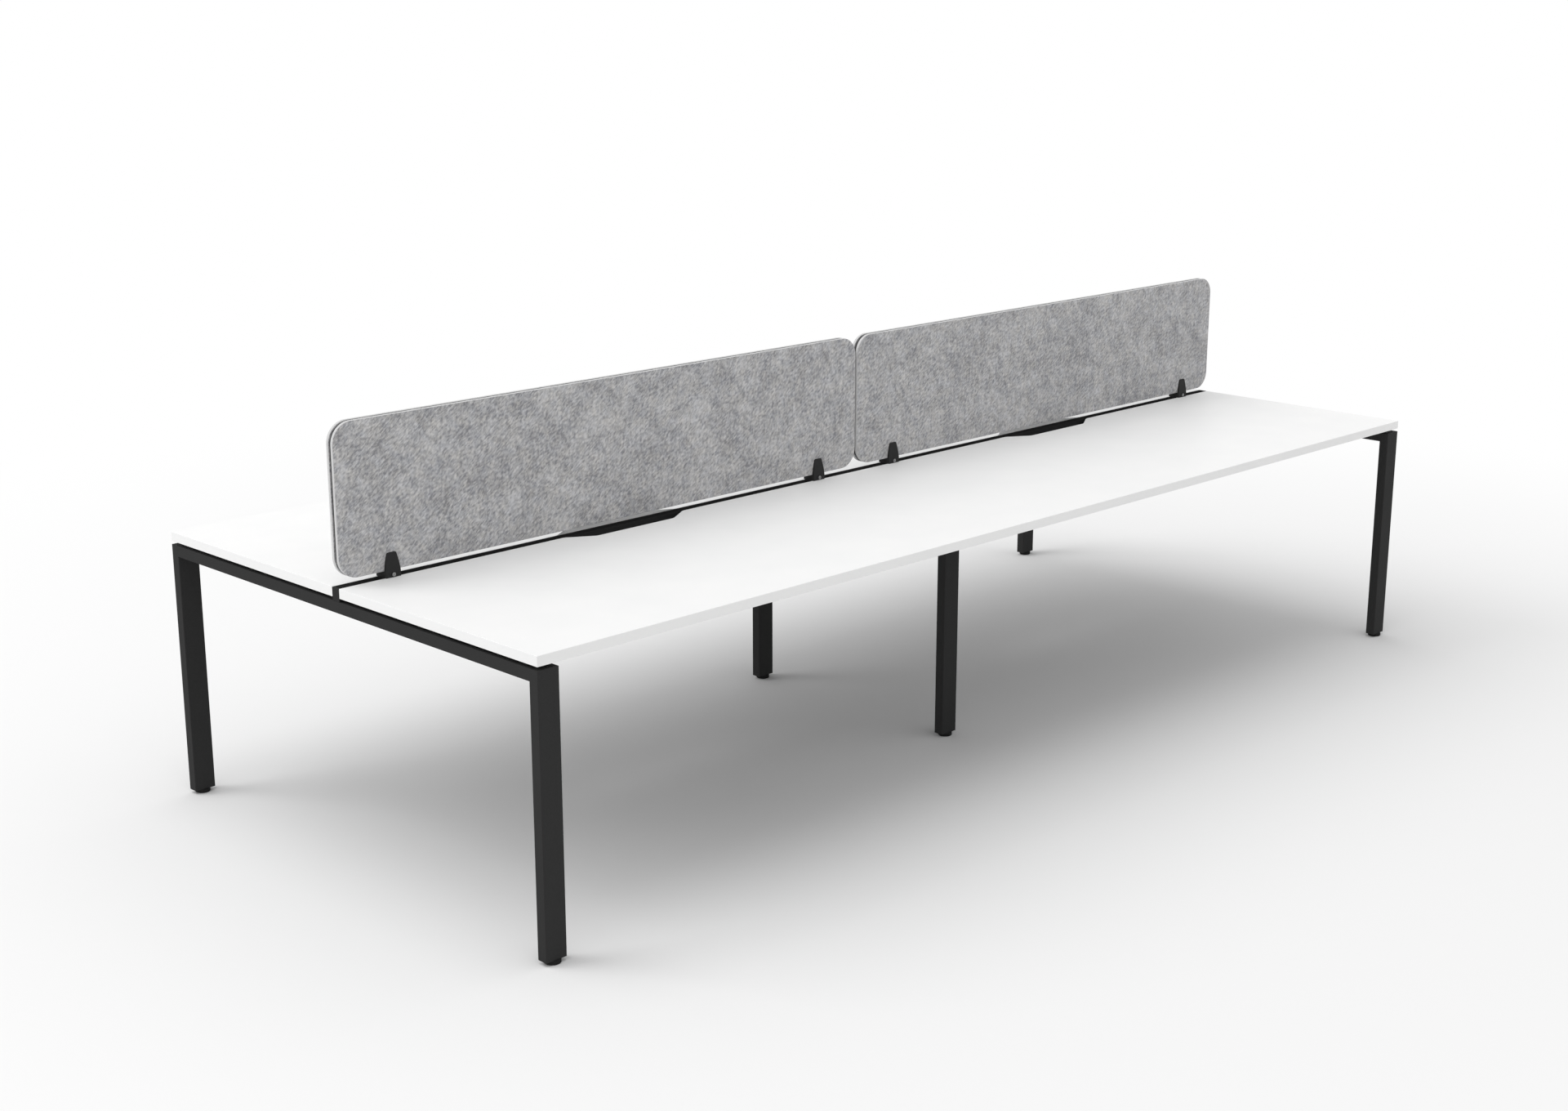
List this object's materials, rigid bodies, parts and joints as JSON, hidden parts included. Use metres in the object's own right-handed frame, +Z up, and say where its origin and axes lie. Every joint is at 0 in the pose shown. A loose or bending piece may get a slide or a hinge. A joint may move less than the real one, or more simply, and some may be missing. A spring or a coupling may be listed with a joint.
{
  "type": "back-to-back workstation",
  "caption": "Back-to-back office desk run: white worktops on a black tube frame, with a centre rail, cable cut-outs, clamped grey felt screens and levelling feet.",
  "frame": {"origin": "on the floor, under the middle of the run", "axes": "+X along the run of desks, -Y towards the front side, +Z up"},
  "size_m": [3.6, 1.54, 1.13],
  "materials": {
    "white_board": "white melamine faced particle board, fine satin texture",
    "white_edge": "white plastic edge band, satin",
    "black_powder_coat": "matt black powder coat, fine texture",
    "black_rail": "matt black powder coat",
    "black_plastic": "moulded, matt",
    "black_foot": "moulded, matt",
    "zinc_steel": "bright zinc plate",
    "grey_felt": "mottled grey pressed felt",
    "dark_core": "dark pressed felt core",
    "black_clamp": "moulded, fine matt texture"
  },
  "bodies": {
    "desk": {"worktop_front_left": "white_board", "worktop_rear_left": "white_board", "worktop_front_right": "white_board", "worktop_rear_right": "white_board", "edge_bands": "white_edge", "crossbar_left": "black_powder_coat", "crossbar_middle": "black_powder_coat", "crossbar_right": "black_powder_coat", "leg_front_left": "black_powder_coat", "leg_rear_left": "black_powder_coat", "leg_front_middle": "black_powder_coat", "leg_rear_middle": "black_powder_coat", "leg_front_right": "black_powder_coat", "leg_rear_right": "black_powder_coat", "beam_front_left_outer": "black_powder_coat", "beam_front_left_inner": "black_powder_coat", "beam_rear_left_outer": "black_powder_coat", "beam_rear_left_inner": "black_powder_coat", "beam_front_right_outer": "black_powder_coat", "beam_front_right_inner": "black_powder_coat", "beam_rear_right_outer": "black_powder_coat", "beam_rear_right_inner": "black_powder_coat", "beam_end_plates": "black_powder_coat", "centre_rail_left": "black_rail", "centre_rail_right": "black_rail", "crossbar_caps": "black_plastic", "rail_caps": "black_plastic", "leg_plugs": "black_plastic", "worktop_spacers": "black_plastic", "beam_bolts": "zinc_steel", "frame_screws": "zinc_steel", "clamp_screws": "zinc_steel", "clamp_base_screws": "zinc_steel", "screen_left_front_felt": "grey_felt", "screen_left_rear_felt": "grey_felt", "screen_right_front_felt": "grey_felt", "screen_right_rear_felt": "grey_felt", "screen_left_core": "dark_core", "screen_right_core": "dark_core", "clamp_1_front_jaw": "black_clamp", "clamp_1_rear_jaw": "black_clamp", "clamp_2_front_jaw": "black_clamp", "clamp_2_rear_jaw": "black_clamp", "clamp_3_front_jaw": "black_clamp", "clamp_3_rear_jaw": "black_clamp", "clamp_4_front_jaw": "black_clamp", "clamp_4_rear_jaw": "black_clamp"},
    "foot_front_left": {"foot_pad_front_left": "black_foot", "foot_stem_front_left": "zinc_steel"},
    "foot_rear_left": {"foot_pad_rear_left": "black_foot", "foot_stem_rear_left": "zinc_steel"},
    "foot_front_middle": {"foot_pad_front_middle": "black_foot", "foot_stem_front_middle": "zinc_steel"},
    "foot_rear_middle": {"foot_pad_rear_middle": "black_foot", "foot_stem_rear_middle": "zinc_steel"},
    "foot_front_right": {"foot_pad_front_right": "black_foot", "foot_stem_front_right": "zinc_steel"},
    "foot_rear_right": {"foot_pad_rear_right": "black_foot", "foot_stem_rear_right": "zinc_steel"}
  },
  "joints": [
    {"name": "level_front_left", "type": "slide", "parent": "desk", "child": "foot_front_left", "axis": [0, 0, 1], "range_m": [-0.02, 0]},
    {"name": "level_rear_left", "type": "slide", "parent": "desk", "child": "foot_rear_left", "axis": [0, 0, 1], "range_m": [-0.02, 0]},
    {"name": "level_front_middle", "type": "slide", "parent": "desk", "child": "foot_front_middle", "axis": [0, 0, 1], "range_m": [-0.02, 0]},
    {"name": "level_rear_middle", "type": "slide", "parent": "desk", "child": "foot_rear_middle", "axis": [0, 0, 1], "range_m": [-0.02, 0]},
    {"name": "level_front_right", "type": "slide", "parent": "desk", "child": "foot_front_right", "axis": [0, 0, 1], "range_m": [-0.02, 0]},
    {"name": "level_rear_right", "type": "slide", "parent": "desk", "child": "foot_rear_right", "axis": [0, 0, 1], "range_m": [-0.02, 0]}
  ]
}
